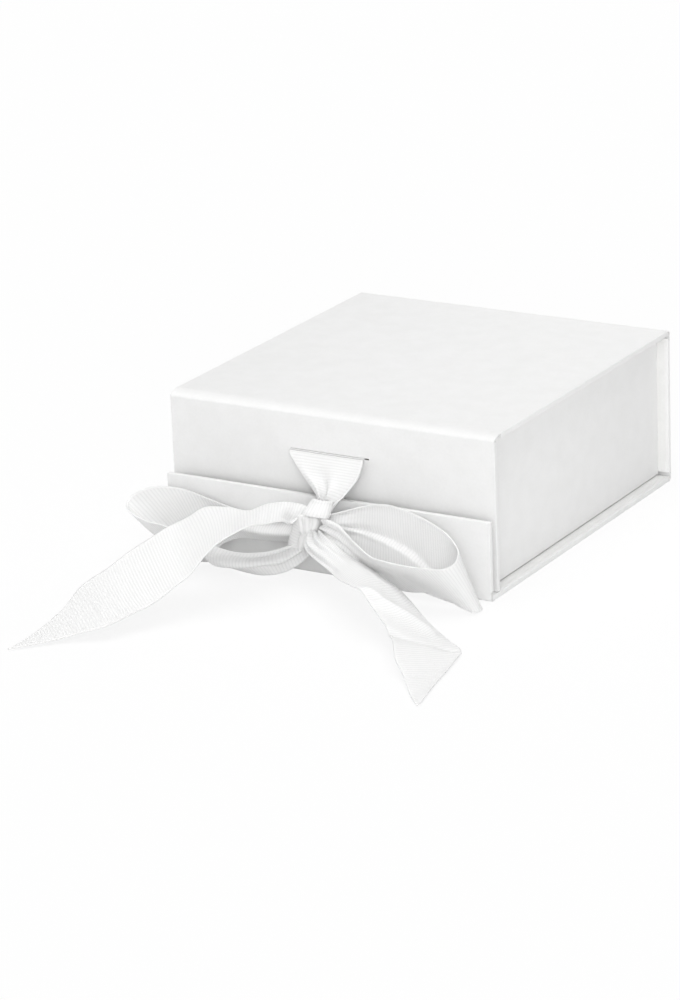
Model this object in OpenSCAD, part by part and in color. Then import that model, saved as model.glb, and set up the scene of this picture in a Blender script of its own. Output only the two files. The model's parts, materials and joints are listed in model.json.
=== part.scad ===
// Collapsible gift box with a hinged cover, a magnetic closing flap and a tied ribbon.
// It lies on its cover, with the closed face of its tray on top.
// X runs along the front, +Y to the spine, Z up from the underside of the cover.

/* [Box] */
// Width of every panel, along the front
panel_w = 150; // [120:1:220]
// Depth of the tray, from the front wall's face to the spine's face
box_d = 157; // [120:1:240]
// Height of the whole box
box_h = 67; // [60:1:110]
// How far the side walls stand in from the panels' ends
side_inset = 5; // [3:0.5:10]

/* [Flap] */
// Height of the flap's top edge above the table
flap_top = 33.2; // [26:0.1:36]
// Gap between the flap and the front wall
flap_gap = 3.1; // [2:0.1:6]

/* [Board and paper] */
// Thickness of the grey board
board_t = 2; // [1.5:0.1:3]
// Thickness of the covering paper
paper_t = 0.12; // [0.1:0.01:0.2]
// Width of the turned-in edge of the covering paper
turn_in = 14; // [8:1:15]
// How far the lining paper stays back from a panel's edge
liner_inset = 1.5; // [1:0.1:4]
// Width of one leg of the tape in the corners
tape_w = 10; // [6:1:12]
// How far the corner tape stays back from the tray's open edge
tape_back = 3; // [2:0.5:8]

/* [Folds] */
// Outer radius of the folds at the ends of the cover
fold_r = 1.6; // [1.2:0.1:2.4]
// Bare paper between the cover and the panels that stand on it
groove_w = 1.6; // [1:0.1:3]
// Bare paper between the closed face and the spine
top_groove_w = 1; // [0.6:0.1:2]
// Depth of the rounded fold over the front wall, along the closed face
round_d = 6; // [3:0.5:9]
// Height of the same fold, down the front wall
round_h = 2.4; // [1.6:0.1:4]
// Gap between the folded paper and the panel that turns on it
fold_clear = 0.1; // [0.05:0.05:0.3]
// Gap under the front wall
wall_gap = 0.35; // [0.3:0.05:0.8]
// Gap under the side walls
foot_gap = 0.5; // [0.3:0.1:1]

/* [Magnets] */
// Diameter of the magnets
magnet_d = 10; // [6:1:14]
// Thickness of the magnets
magnet_t = 1; // [0.8:0.1:1.4]
// Distance of each magnet from the middle of the panel
magnet_x = 45; // [30:1:50]
// Height of the magnets above the table
magnet_z = 20; // [14:1:22]
// Room round a magnet in its pocket
magnet_clear = 0.1; // [0.05:0.05:0.2]

/* [Ribbon] */
// Width of the ribbon
ribbon_w = 34; // [30:1:38]
// Thickness of the ribbon
ribbon_t = 0.45; // [0.3:0.05:0.6]
// Height of the slot in the front wall above the table
slot_z = 50.2; // [46:0.2:56]
// Height of the slot's opening
slot_h = 1.1; // [0.9:0.1:2]
// Room at each end of the ribbon in its slot
slot_clear = 1.2; // [0.8:0.1:2]
// Length of ribbon glued to the inside of the front wall
glued_l = 30; // [20:1:35]
// Margin of the patch that covers the glued ribbon
patch_rim = 5; // [3:0.5:8]
// Gap between the glued ribbon and the free ribbon, at the slot's mouth
root_gap = 0.3; // [0.2:0.1:0.5]
// How far the free ribbon's root stands in front of the wall
root_out = 1; // [0.9:0.1:2]
// Radius of the upper band of the knot
knot_upper_r = 5.2; // [4:0.1:6]
// Radius of the lower band of the knot
knot_lower_r = 4.6; // [3.5:0.1:5.5]

/* [Hidden] */

// Thickness of a finished panel: wrap, board, turned-in edge and liner
panel_t = board_t + 3 * paper_t;
// Thickness of a side wall: board between two layers of wrap
side_t = board_t + 2 * paper_t;
// Thickness of a paper fold: wrap and liner glued together
fold_t = 2 * paper_t;
// Outer faces of the flap, the front wall and the spine
flap_y = -(box_d + flap_gap + panel_t) / 2;
wall_y = flap_y + panel_t + flap_gap;
spine_y = wall_y + box_d;
// Lengths and lower ends of the panels
cover_l = spine_y - flap_y - 2 * fold_r;
stand_z = panel_t + groove_w;
flap_l = flap_top - stand_z;
wall_z = panel_t + wall_gap;
wall_l = box_h - round_h - wall_z;
spine_l = box_h - panel_t - top_groove_w - stand_z;
floor_l = box_d - round_d - fold_r;
// Inside of the tray
inner_x = panel_w / 2 - side_inset - side_t;
inner_front_y = wall_y + panel_t;
inner_rear_y = spine_y - panel_t;
ceiling_z = box_h - panel_t;
foot_z = panel_t + foot_gap;
side_l = inner_rear_y - inner_front_y;
side_h = ceiling_z - foot_z;
slot_l = ribbon_w + 2 * slot_clear;
// Middle of the ribbon in the slot, where it lies on the lower lip
root_z = slot_z - (slot_h - ribbon_t) / 2;
inner_tip_y = wall_y - root_out + root_gap;
// One overrun serves all cuts
over = 1;
arc_steps = 12;
ribbon_steps = 3;
across_shares = [0, 0.25, 0.5, 0.75, 1];

// Places of the knot's bands: x and forward reach in ribbon widths, z in slot heights
knot_upper_shares = [[0.2, 0.23, 0.64], [0.02, 0.27, 0.58]];
knot_lower_shares = [[0.02, 0.26, 0.52], [0.04, 0.27, 0.42]];

// Each row of the ribbon's tables crosses the ribbon from its upper to its lower edge.
// A place is x and forward reach in ribbon widths, then z in slot heights.
// The neck reaches forward from the front wall, and the other stretches from the flap.
neck_shares = [
    [[-0.51, 0.03, 0.99], [0.00, 0.03, 0.99], [0.51, 0.03, 0.99]],
    [[-0.49, 0.07, 0.95], [0.00, 0.06, 0.95], [0.51, 0.07, 0.95]],
    [[-0.35, 0.18, 0.84], [0.00, 0.15, 0.84], [0.46, 0.18, 0.86]],
    [[-0.15, 0.28, 0.74], [0.06, 0.25, 0.74], [0.31, 0.28, 0.74]],
    [[0.00, 0.35, 0.64], [0.09, 0.32, 0.64], [0.19, 0.35, 0.64]]
];
left_tail_shares = [
    [[-0.09, 0.25, 0.64], [-0.06, 0.43, 0.62], [-0.03, 0.57, 0.56]],
    [[-0.35, 0.31, 0.65], [-0.24, 0.55, 0.66], [-0.12, 0.78, 0.62]],
    [[-0.56, 0.37, 0.63], [-0.38, 0.69, 0.66], [-0.21, 1.02, 0.64]],
    [[-0.76, 0.49, 0.58], [-0.53, 0.84, 0.64], [-0.29, 1.22, 0.66]],
    [[-0.97, 0.60, 0.61], [-0.68, 1.02, 0.62], [-0.41, 1.43, 0.62]],
    [[-1.15, 0.81, 0.64], [-0.82, 1.16, 0.60], [-0.53, 1.57, 0.56]],
    [[-1.29, 0.99, 0.58], [-0.94, 1.34, 0.54], [-0.62, 1.69, 0.48]],
    [[-1.41, 1.22, 0.54], [-1.06, 1.55, 0.44], [-0.71, 1.87, 0.36]],
    [[-1.53, 1.46, 0.48], [-1.18, 1.78, 0.38], [-0.82, 2.10, 0.28]],
    [[-1.68, 1.72, 0.40], [-1.32, 2.05, 0.30], [-0.94, 2.34, 0.20]],
    [[-1.79, 1.96, 0.32], [-1.44, 2.28, 0.24], [-1.06, 2.57, 0.16]],
    [[-1.97, 2.25, 0.22], [-1.59, 2.57, 0.18], [-1.21, 2.90, 0.12]],
    [[-1.97, 2.66, 0.12], [-1.71, 2.87, 0.10], [-1.44, 3.05, 0.08]],
    [[-2.00, 3.13, 0.05], [-1.85, 3.19, 0.05], [-1.68, 3.25, 0.04]],
    [[-2.03, 3.63, 0.02], [-2.04, 3.65, 0.02], [-2.05, 3.66, 0.02]]
];
left_loop_shares = [
    [[-0.09, 0.22, 0.50], [-0.12, 0.19, 0.42], [-0.12, 0.19, 0.36]],
    [[-0.41, 0.16, 0.50], [-0.38, 0.13, 0.40], [-0.38, 0.12, 0.28]],
    [[-0.82, 0.12, 0.47], [-0.76, 0.12, 0.36], [-0.71, 0.12, 0.25]],
    [[-1.18, 0.10, 0.47], [-1.12, 0.12, 0.36], [-1.06, 0.12, 0.24]],
    [[-1.56, 0.10, 0.52], [-1.44, 0.12, 0.36], [-1.32, 0.12, 0.18]],
    [[-1.91, 0.13, 0.58], [-1.71, 0.13, 0.32], [-1.50, 0.12, 0.08]],
    [[-2.24, 0.22, 0.59], [-1.94, 0.15, 0.31], [-1.65, 0.12, 0.03]],
    [[-2.44, 0.34, 0.54], [-2.15, 0.22, 0.28], [-1.79, 0.15, 0.02]],
    [[-2.50, 0.46, 0.48], [-2.18, 0.34, 0.24], [-1.85, 0.21, 0.02]],
    [[-2.35, 0.63, 0.45], [-2.09, 0.46, 0.22], [-1.79, 0.28, 0.02]],
    [[-2.06, 0.75, 0.43], [-1.88, 0.55, 0.22], [-1.65, 0.31, 0.02]],
    [[-1.76, 0.81, 0.43], [-1.65, 0.56, 0.22], [-1.47, 0.24, 0.02]],
    [[-1.41, 0.84, 0.39], [-1.38, 0.57, 0.21], [-1.29, 0.19, 0.02]],
    [[-1.06, 0.81, 0.31], [-1.09, 0.60, 0.19], [-1.06, 0.24, 0.02]],
    [[-0.82, 0.75, 0.27], [-0.85, 0.57, 0.17], [-0.85, 0.30, 0.02]],
    [[-0.59, 0.63, 0.27], [-0.59, 0.52, 0.17], [-0.62, 0.32, 0.03]],
    [[-0.35, 0.46, 0.30], [-0.32, 0.40, 0.21], [-0.35, 0.32, 0.10]],
    [[-0.12, 0.28, 0.34], [-0.09, 0.27, 0.30], [-0.09, 0.25, 0.24]]
];
right_loop_shares = [
    [[0.18, 0.22, 0.56], [0.21, 0.22, 0.46], [0.18, 0.25, 0.38]],
    [[0.35, 0.16, 0.61], [0.35, 0.19, 0.50], [0.35, 0.22, 0.38]],
    [[0.62, 0.11, 0.67], [0.62, 0.13, 0.49], [0.59, 0.21, 0.30]],
    [[0.88, 0.11, 0.71], [0.91, 0.15, 0.46], [0.91, 0.25, 0.22]],
    [[1.18, 0.12, 0.69], [1.21, 0.16, 0.41], [1.24, 0.28, 0.16]],
    [[1.50, 0.16, 0.64], [1.53, 0.21, 0.36], [1.56, 0.30, 0.10]],
    [[1.76, 0.22, 0.58], [1.82, 0.25, 0.31], [1.88, 0.27, 0.05]],
    [[1.94, 0.34, 0.53], [2.03, 0.31, 0.27], [2.12, 0.25, 0.02]],
    [[2.04, 0.46, 0.50], [2.12, 0.37, 0.25], [2.21, 0.24, 0.02]],
    [[2.06, 0.60, 0.45], [2.15, 0.46, 0.22], [2.24, 0.27, 0.02]],
    [[1.97, 0.72, 0.42], [2.09, 0.53, 0.22], [2.21, 0.32, 0.02]],
    [[1.82, 0.81, 0.43], [1.94, 0.57, 0.23], [2.06, 0.34, 0.04]],
    [[1.56, 0.84, 0.43], [1.71, 0.60, 0.26], [1.85, 0.37, 0.10]],
    [[1.26, 0.81, 0.43], [1.41, 0.57, 0.28], [1.56, 0.37, 0.14]],
    [[1.00, 0.69, 0.42], [1.12, 0.55, 0.30], [1.24, 0.38, 0.18]],
    [[0.71, 0.55, 0.48], [0.76, 0.47, 0.39], [0.82, 0.40, 0.28]],
    [[0.44, 0.40, 0.52], [0.44, 0.37, 0.46], [0.44, 0.34, 0.39]],
    [[0.15, 0.31, 0.54], [0.12, 0.30, 0.48], [0.09, 0.28, 0.44]]
];
right_tail_shares = [
    [[0.10, 0.34, 0.40], [0.06, 0.35, 0.39], [0.02, 0.37, 0.37]],
    [[0.24, 0.34, 0.40], [0.15, 0.40, 0.38], [0.06, 0.46, 0.30]],
    [[0.50, 0.37, 0.32], [0.56, 0.69, 0.36], [0.59, 0.93, 0.31]],
    [[0.85, 0.46, 0.26], [0.88, 0.90, 0.36], [0.88, 1.22, 0.34]],
    [[1.12, 0.60, 0.23], [1.18, 1.07, 0.35], [1.21, 1.46, 0.37]],
    [[1.32, 0.66, 0.19], [1.44, 1.16, 0.29], [1.35, 1.55, 0.36]],
    [[1.56, 0.78, 0.13], [1.65, 1.31, 0.21], [1.47, 1.57, 0.30]],
    [[1.85, 0.96, 0.04], [1.91, 1.49, 0.16], [1.68, 1.69, 0.23]],
    [[2.15, 1.22, 0.02], [2.18, 1.69, 0.12], [1.91, 1.87, 0.18]],
    [[2.41, 1.37, 0.02], [2.29, 1.78, 0.11], [2.03, 2.03, 0.18]],
    [[2.65, 1.52, 0.02], [2.41, 1.87, 0.10], [2.15, 2.19, 0.18]],
    [[2.71, 1.72, 0.02], [2.50, 2.07, 0.08], [2.29, 2.40, 0.13]],
    [[2.79, 2.10, 0.02], [2.65, 2.37, 0.04], [2.53, 2.63, 0.06]],
    [[2.88, 2.60, 0.02], [2.82, 2.75, 0.02], [2.75, 2.90, 0.02]],
    [[3.00, 3.13, 0.02], [2.99, 3.14, 0.02], [2.98, 3.15, 0.02]]
];

// Place of a row's point, reaching forward from the face at front_y
function placed(p, front_y) = [p.x * ribbon_w, front_y - p.y * ribbon_w, p.z * slot_z];

// A smooth curve through p1 and p2, with p0 and p3 as its neighbours
function between(p0, p1, p2, p3, t) =
    (2 * p1 + (p2 - p0) * t + (2 * p0 - 5 * p1 + 4 * p2 - p3) * t * t
    + (3 * p1 - p0 - 3 * p2 + p3) * t * t * t) / 2;

// Rows along the ribbon, with ribbon_steps to each row of the table
function rows_of(table) = let (last = len(table) - 1) [
    for (i = [0:last * ribbon_steps])
        let (k = min(floor(i / ribbon_steps), last - 1), t = i / ribbon_steps - k)
        [for (j = [0:2]) between(table[max(k - 1, 0)][j], table[k][j],
            table[k + 1][j], table[min(k + 2, last)][j], t)]
];

// Points across one row, on the curve through its three points
function across(row) = [
    for (u = across_shares)
        row[0] * (1 - u) * (1 - 2 * u) + row[1] * 4 * u * (1 - u) + row[2] * u * (2 * u - 1)
];

function unit(v) = v / norm(v);

// Square to the ribbon at row i, column j
function normal_at(grid, i, j) = let (
        last = len(grid) - 1, edge = len(grid[0]) - 1,
        along = grid[min(i + 1, last)][j] - grid[max(i - 1, 0)][j],
        over_it = grid[i][min(j + 1, edge)] - grid[i][max(j - 1, 0)]
    ) unit(cross(along, over_it));

// Closed strip of ribbon through the rows of a table
module ribbon_strip(table, front_y) {
    grid = [
        for (row = rows_of([for (r = table) [for (p = r) placed(p, front_y)]])) across(row)
    ];
    rows = len(grid);
    cols = len(grid[0]);
    ring = 2 * cols;
    points = [
        for (i = [0:rows - 1], side = [1, -1], c = [0:cols - 1])
            let (j = side > 0 ? c : cols - 1 - c)
            grid[i][j] + side * normal_at(grid, i, j) * ribbon_t / 2
    ];
    skin = [
        for (i = [0:rows - 2], k = [0:ring - 1])
            let (a = i * ring + k, b = i * ring + (k + 1) % ring)
            each [[a, b, b + ring], [a, b + ring, a + ring]]
    ];
    ends = [
        for (e = [0, 1], c = [0:cols - 2])
            let (base = e * (rows - 1) * ring, a = base + c, b = base + ring - 1 - c)
            each (e == 0
                ? [[a, b, a + 1], [a + 1, b, b - 1]]
                : [[a, a + 1, b], [a + 1, b - 1, b]])
    ];
    polyhedron(points = points, faces = concat(skin, ends), convexity = 10);
}

// Grey board of a panel that is w wide and l long, its outer face on the ground
module panel_board(w, l) {
    translate([paper_t - w / 2, paper_t, paper_t])
        cube([w - 2 * paper_t, l - 2 * paper_t, board_t]);
}

// Covering paper of the same panel, turned in round its edge
module panel_wrap(w, l) {
    difference() {
        translate([-w / 2, 0, 0])
            cube([w, l, side_t]);
        panel_board(w, l);
        translate([turn_in - w / 2, min(turn_in, l / 3), paper_t])
            cube([w - 2 * turn_in, l - 2 * min(turn_in, l / 3), side_t]);
    }
}

// Lining paper of the same panel, glued to the board and over the turned-in edge
module panel_liner(w, l) {
    translate([turn_in - w / 2, min(turn_in, l / 3), paper_t + board_t])
        cube([w - 2 * turn_in, l - 2 * min(turn_in, l / 3), 2 * paper_t]);
    translate([liner_inset - w / 2, liner_inset, side_t])
        cube([w - 2 * liner_inset, l - 2 * liner_inset, paper_t]);
}

// Places for the panels: the outer face of each is turned outwards
module at_cover() {
    translate([0, flap_y + fold_r, 0])
        children();
}

module at_floor() {
    translate([0, wall_y + round_d, box_h])
        mirror([0, 0, 1])
            children();
}

module at_front() {
    translate([0, wall_y, wall_z])
        mirror([0, 1, -1])
            children();
}

module at_flap() {
    translate([0, flap_y, stand_z])
        mirror([0, 1, -1])
            children();
}

module at_spine() {
    translate([0, spine_y, stand_z])
        rotate([90, 0, 0])
            children();
}

module at_left_side() {
    translate([side_inset - panel_w / 2, inner_front_y + side_l / 2, foot_z])
        rotate([90, 0, 90])
            children();
}

module at_right_side() {
    mirror([1, 0, 0])
        at_left_side()
            children();
}

// Outline, extruded along the box's width with its first axis along Y
module across_width(w) {
    rotate([90, 0, 90])
        linear_extrude(w, center = true)
            children();
}

// Paper fold round a lower corner, whose straight part rises to rise
module fold_outline(rise) {
    intersection() {
        translate([-fold_r, fold_r])
            difference() {
                circle(fold_r, $fn = 48);
                circle(fold_r - fold_t, $fn = 48);
            }
        translate([-fold_r, 0])
            square(fold_r);
    }
    translate([-fold_t, fold_r])
        square([fold_t, rise - fold_r]);
}

// Soft fold between the front wall and the closed face
function round_arc(d, h) = [
    for (i = [0:arc_steps]) let (a = 90 * i / arc_steps) [-d * cos(a), h * sin(a)]
];

module round_outline() {
    polygon(concat(
        round_arc(round_d, round_h),
        [for (i = [arc_steps:-1:0]) round_arc(round_d - fold_t, round_h - fold_t)[i]]
    ));
}

// Ribbon's slot through the front wall
module slot_cut() {
    translate([-slot_l / 2, wall_y - over, slot_z - slot_h / 2])
        cube([slot_l, panel_t + 2 * over, slot_h]);
}

// One disc in each half of a panel, its face at face_y and its body behind it
module magnet_discs(face_y, d, t) {
    for (side = [-1, 1])
        translate([side * magnet_x, face_y, magnet_z])
            rotate([-90, 0, 0])
                cylinder(d = d, h = t, $fn = 64);
}

module cover_board() {
    color([0.62, 0.60, 0.56])
        at_cover() panel_board(panel_w, cover_l);
}

module cover_wrap() {
    color([0.96, 0.96, 0.95])
        at_cover() panel_wrap(panel_w, cover_l);
}

module cover_liner() {
    color([0.95, 0.95, 0.94])
        at_cover() panel_liner(panel_w, cover_l);
}

module rear_hinge() {
    color([0.96, 0.96, 0.95])
        translate([0, spine_y, 0])
            across_width(panel_w) fold_outline(stand_z - fold_clear);
}

module front_hinge() {
    color([0.96, 0.96, 0.95])
        translate([0, flap_y, 0])
            mirror([0, 1, 0])
                across_width(panel_w) fold_outline(stand_z - fold_clear);
}

module floor_board() {
    color([0.62, 0.60, 0.56])
        at_floor() panel_board(panel_w, floor_l);
}

module front_board() {
    color([0.62, 0.60, 0.56])
        difference() {
            at_front() panel_board(panel_w, wall_l);
            slot_cut();
            magnet_discs(wall_y, magnet_d + 2 * magnet_clear, paper_t + magnet_t);
        }
}

module spine_board() {
    color([0.62, 0.60, 0.56])
        at_spine() panel_board(panel_w, spine_l);
}

module side_board() {
    translate([-side_l / 2 + paper_t, paper_t, paper_t])
        cube([side_l - 2 * paper_t, side_h - paper_t, board_t]);
}

module side_wrap() {
    difference() {
        translate([-side_l / 2, 0, 0])
            cube([side_l, side_h, side_t]);
        side_board();
    }
}

module left_side_board() {
    color([0.62, 0.60, 0.56])
        at_left_side() side_board();
}

module right_side_board() {
    color([0.62, 0.60, 0.56])
        at_right_side() side_board();
}

module left_side_wrap() {
    color([0.96, 0.96, 0.95])
        at_left_side() side_wrap();
}

module right_side_wrap() {
    color([0.96, 0.96, 0.95])
        at_right_side() side_wrap();
}

module tray_wrap() {
    color([0.96, 0.96, 0.95]) {
        difference() {
            at_front() panel_wrap(panel_w, wall_l);
            slot_cut();
        }
        at_floor() panel_wrap(panel_w, floor_l);
        at_spine() panel_wrap(panel_w, spine_l);
        translate([0, wall_y + round_d, box_h - round_h])
            across_width(panel_w) round_outline();
        translate([0, spine_y, box_h])
            mirror([0, 0, 1])
                across_width(panel_w) fold_outline(panel_t + top_groove_w);
    }
}

module floor_liner() {
    color([0.95, 0.95, 0.94])
        at_floor() panel_liner(panel_w, floor_l);
}

module front_liner() {
    color([0.95, 0.95, 0.94])
        difference() {
            at_front() panel_liner(panel_w, wall_l);
            slot_cut();
        }
}

module spine_liner() {
    color([0.95, 0.95, 0.94])
        at_spine() panel_liner(panel_w, spine_l);
}

// Tape along one corner that runs up from the origin, its legs along +X and +Y
module corner_tape(l) {
    cube([tape_w, paper_t, l]);
    cube([paper_t, tape_w, l]);
}

module corner_tapes() {
    upright_l = side_h - tape_back - tape_w;
    level_l = side_l - 2 * tape_w;
    color([0.93, 0.93, 0.92])
        for (side = [0, 1])
            mirror([side, 0, 0]) {
                translate([-inner_x, inner_front_y, foot_z + tape_back])
                    corner_tape(upright_l);
                translate([-inner_x, inner_rear_y, foot_z + tape_back])
                    mirror([0, 1, 0])
                        corner_tape(upright_l);
                translate([-inner_x, inner_front_y + tape_w, ceiling_z])
                    rotate([-90, 0, 0])
                        corner_tape(level_l);
            }
}

module wall_magnets() {
    color([0.75, 0.76, 0.78])
        magnet_discs(wall_y + paper_t, magnet_d, magnet_t);
}

module flap_board() {
    color([0.62, 0.60, 0.56])
        difference() {
            at_flap() panel_board(panel_w, flap_l);
            magnet_discs(flap_y + side_t - paper_t - magnet_t,
                magnet_d + 2 * magnet_clear, magnet_t + over);
        }
}

module flap_wrap() {
    color([0.96, 0.96, 0.95])
        at_flap() panel_wrap(panel_w, flap_l);
}

module flap_liner() {
    color([0.95, 0.95, 0.94])
        at_flap() panel_liner(panel_w, flap_l);
}

module flap_magnets() {
    color([0.75, 0.76, 0.78])
        magnet_discs(flap_y + side_t - paper_t - magnet_t, magnet_d, magnet_t);
}

module ribbon_inner_end() {
    color([0.97, 0.97, 0.97]) {
        translate([-ribbon_w / 2, inner_tip_y, root_z - ribbon_t / 2])
            cube([ribbon_w, inner_front_y + ribbon_t - inner_tip_y, ribbon_t]);
        translate([-ribbon_w / 2, inner_front_y, root_z - ribbon_t / 2 - glued_l])
            cube([ribbon_w, ribbon_t, glued_l + ribbon_t]);
    }
}

module ribbon_patch() {
    low_z = root_z - ribbon_t / 2 - glued_l - patch_rim;
    color([0.95, 0.95, 0.94])
        difference() {
            translate([-ribbon_w / 2 - patch_rim, inner_front_y, low_z])
                cube([ribbon_w + 2 * patch_rim, ribbon_t + paper_t,
                    glued_l + ribbon_t + 2 * patch_rim]);
            translate([-ribbon_w / 2, inner_front_y - over, low_z + patch_rim])
                cube([ribbon_w, ribbon_t + over, glued_l + ribbon_t]);
        }
}

module ribbon_neck() {
    color([0.98, 0.98, 0.98])
        ribbon_strip(neck_shares, wall_y);
}

// Rounded band of the knot between two places
module knot_band(ends_at, r) {
    hull()
        for (p = ends_at)
            translate(placed(p, flap_y))
                sphere(r, $fn = 20);
}

module ribbon_knot() {
    color([0.98, 0.98, 0.98]) {
        knot_band(knot_upper_shares, knot_upper_r);
        knot_band(knot_lower_shares, knot_lower_r);
    }
}

module ribbon_left_loop() {
    color([0.98, 0.98, 0.98])
        ribbon_strip(left_loop_shares, flap_y);
}

module ribbon_right_loop() {
    color([0.98, 0.98, 0.98])
        ribbon_strip(right_loop_shares, flap_y);
}

module ribbon_left_tail() {
    color([0.98, 0.98, 0.98])
        ribbon_strip(left_tail_shares, flap_y);
}

module ribbon_right_tail() {
    color([0.98, 0.98, 0.98])
        ribbon_strip(right_tail_shares, flap_y);
}

cover_board();
cover_wrap();
cover_liner();
rear_hinge();
front_hinge();
floor_board();
front_board();
spine_board();
left_side_board();
right_side_board();
tray_wrap();
left_side_wrap();
right_side_wrap();
floor_liner();
front_liner();
spine_liner();
corner_tapes();
wall_magnets();
ribbon_inner_end();
ribbon_patch();
flap_board();
flap_wrap();
flap_liner();
flap_magnets();
ribbon_neck();
ribbon_knot();
ribbon_left_loop();
ribbon_right_loop();
ribbon_left_tail();
ribbon_right_tail();
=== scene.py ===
import json
import math

import bmesh
import bpy
import numpy as np
from mathutils import Matrix, Vector


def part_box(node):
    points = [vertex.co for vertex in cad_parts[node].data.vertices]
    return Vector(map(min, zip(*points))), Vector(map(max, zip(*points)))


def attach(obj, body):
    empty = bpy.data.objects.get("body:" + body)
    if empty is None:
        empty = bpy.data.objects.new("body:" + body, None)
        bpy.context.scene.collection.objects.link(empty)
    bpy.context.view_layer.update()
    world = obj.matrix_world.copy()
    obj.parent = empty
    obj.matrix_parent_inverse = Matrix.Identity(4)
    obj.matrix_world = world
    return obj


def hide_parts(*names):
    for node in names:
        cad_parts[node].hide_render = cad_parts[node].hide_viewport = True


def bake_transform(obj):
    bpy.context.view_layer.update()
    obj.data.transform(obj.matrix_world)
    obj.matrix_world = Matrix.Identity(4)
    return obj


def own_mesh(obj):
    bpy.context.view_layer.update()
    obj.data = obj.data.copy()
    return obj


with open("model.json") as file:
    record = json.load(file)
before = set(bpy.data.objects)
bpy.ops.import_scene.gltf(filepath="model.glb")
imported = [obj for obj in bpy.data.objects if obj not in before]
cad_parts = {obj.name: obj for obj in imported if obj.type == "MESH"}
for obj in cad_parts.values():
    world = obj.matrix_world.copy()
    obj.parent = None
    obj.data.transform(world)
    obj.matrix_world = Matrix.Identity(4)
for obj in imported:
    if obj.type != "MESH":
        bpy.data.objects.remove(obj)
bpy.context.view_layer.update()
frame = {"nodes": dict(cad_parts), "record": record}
nodes = frame["nodes"]
print("frame loaded:", len(nodes), "nodes")

scene = bpy.context.scene

# Camera, light and floor
cameraView = {
    "place": (0.7505, -1.3113, 0.5322),
    "forward": (-0.4888, 0.8084, -0.3280),
    "up": (-0.1349, 0.3014, 0.9439),
    "sensor": 36,  # along the picture's long side
    "lens": 137.18,
    "shiftX": 0.0012,
    "clipStart": 0.05,
    "clipEnd": 30,
}


def addCamera(v):
    ahead = Vector(v["forward"]).normalized()
    right = ahead.cross(Vector(v["up"])).normalized()
    above = right.cross(ahead)
    data = bpy.data.cameras.new("photoCamera")
    data.sensor_width = v["sensor"]
    data.lens = v["lens"]
    data.shift_x = v["shiftX"]
    data.clip_start = v["clipStart"]
    data.clip_end = v["clipEnd"]
    cam = bpy.data.objects.new("photoCamera", data)
    turned = Matrix((right, above, -ahead)).transposed().to_4x4()
    cam.matrix_world = Matrix.Translation(v["place"]) @ turned
    scene.collection.objects.link(cam)
    scene.camera = cam


addCamera(cameraView)
scene.view_settings.view_transform = "Standard"


# Makes a shader or geometry node, sets its inputs and returns it. An input goes by its
# label, with _ for a space, or by its place in the list: i0, i1 and on.
def node(tree, kind, settings=None, **inputs):
    made = tree.nodes.new(kind)
    for key, value in (settings or {}).items():
        setattr(made, key, value)
    for key, value in inputs.items():
        byPlace = key[0] == "i" and key[1:].isdigit()
        socket = made.inputs[int(key[1:]) if byPlace else key.replace("_", " ")]
        if isinstance(value, bpy.types.NodeSocket):
            tree.links.new(value, socket)
        else:
            socket.default_value = value
    return made


def mathNode(tree, how, a, b=0.0):
    return node(tree, "ShaderNodeMath", {"operation": how}, i0=a, i1=b).outputs[0]


def rangeNode(tree, value, low, high, toLow=0.0, toHigh=1.0):
    return node(tree, "ShaderNodeMapRange", i0=value, i1=low, i2=high, i3=toLow, i4=toHigh).outputs[0]


def mixNode(tree, share, first, second):
    return node(tree, "ShaderNodeMix", {"data_type": "RGBA"}, Factor=share, i6=first, i7=second).outputs[2]


def newMaterial(name):
    made = bpy.data.materials.new(name)
    made.use_nodes = True
    made.node_tree.nodes.clear()
    return made, made.node_tree


studio = {
    "skyStrength": 0.25,
    "lamps": {  # name: where the light comes from, strength, and degrees across for soft shadows
        "overheadLight": ((0.0, 0.0, 1.0), 1.75, 60),
        "cameraSideLight": ((0.489, -0.808, 0.328), 1.10, 40),
        "rightLight": ((1.0, -0.05, 0.15), 0.25, 60),
        "leftFrontLight": ((-0.6, -0.7, 0.4), 0.35, 60),
    },
    "floorSize": 6.0,
    "floorColour": (0.97, 0.97, 0.97, 1),
    "floorGlow": 0.85,  # share of plain white that only the camera sees
}


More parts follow.
